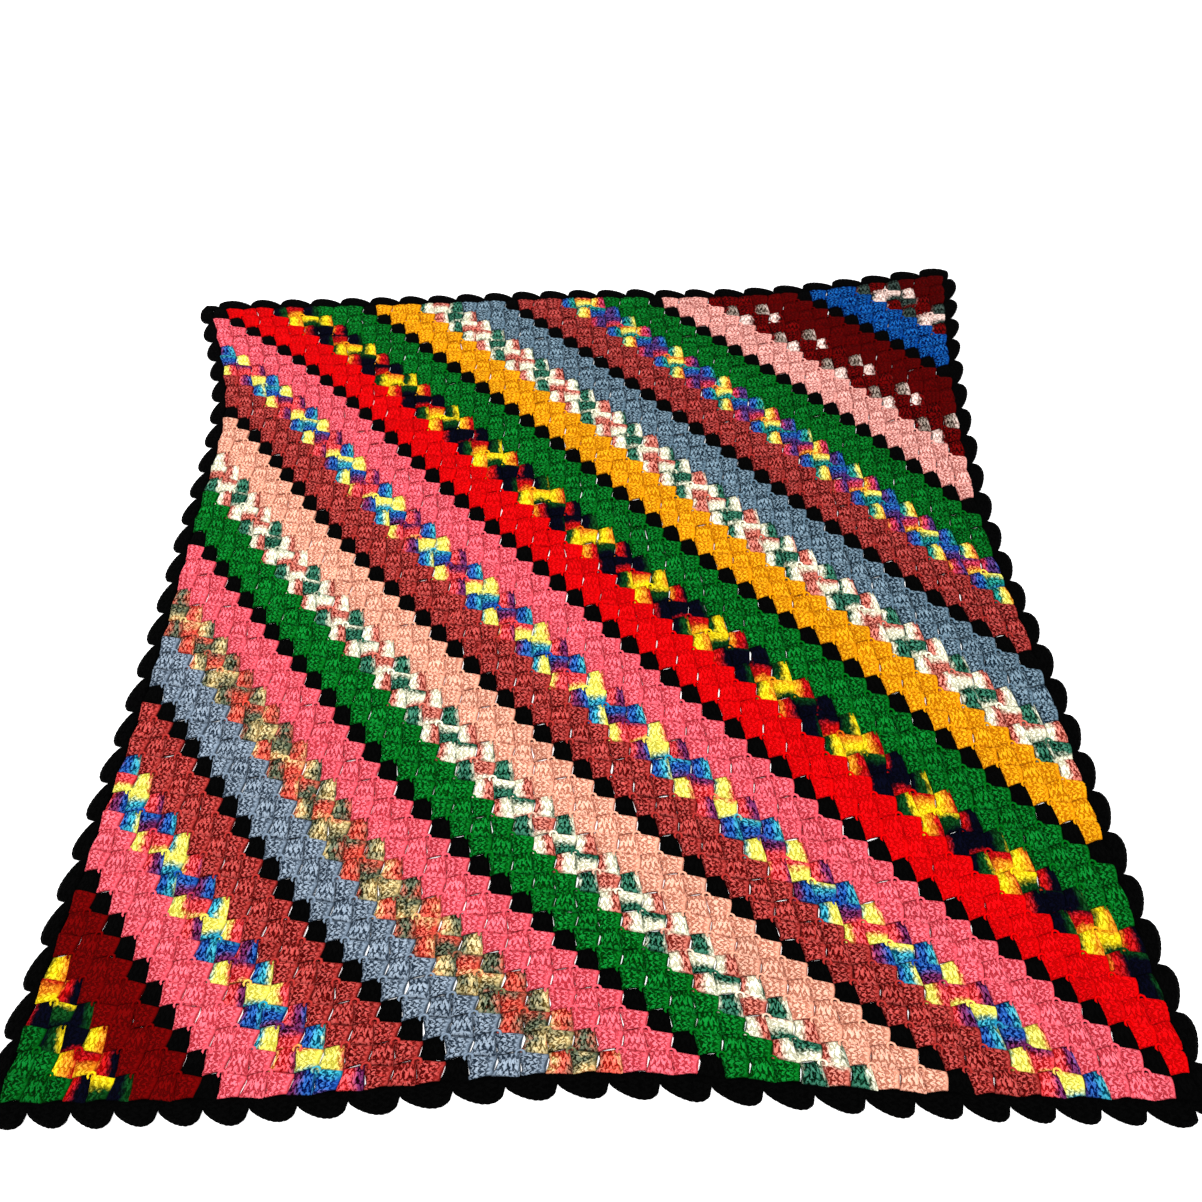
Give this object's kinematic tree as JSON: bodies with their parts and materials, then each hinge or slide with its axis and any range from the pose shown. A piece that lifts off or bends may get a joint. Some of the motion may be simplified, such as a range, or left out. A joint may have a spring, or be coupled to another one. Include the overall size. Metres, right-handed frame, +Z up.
{
  "type": "shell stitch crochet afghan",
  "caption": "Square crochet blanket of small corner-to-corner blocks in diagonal stripes, with black edging in leaning shells, lying flat.",
  "frame": {"origin": "centre of the cloth's box, on the surface that it lies on", "axes": "+Z up out of the cloth's face, +Y from the near edge to the far edge, +X to the right, with the first corner worked at -X -Y"},
  "size_m": [1.3546, 1.319, 0.006],
  "materials": {
    "striped_yarn": "soft matte acrylic yarn, worked in diagonal stripes of plain and variegated colours parted by black rows",
    "black_yarn": "soft matte black acrylic yarn"
  },
  "bodies": {
    "root": {"field": "striped_yarn", "shell_edging": "black_yarn"}
  },
  "joints": []
}
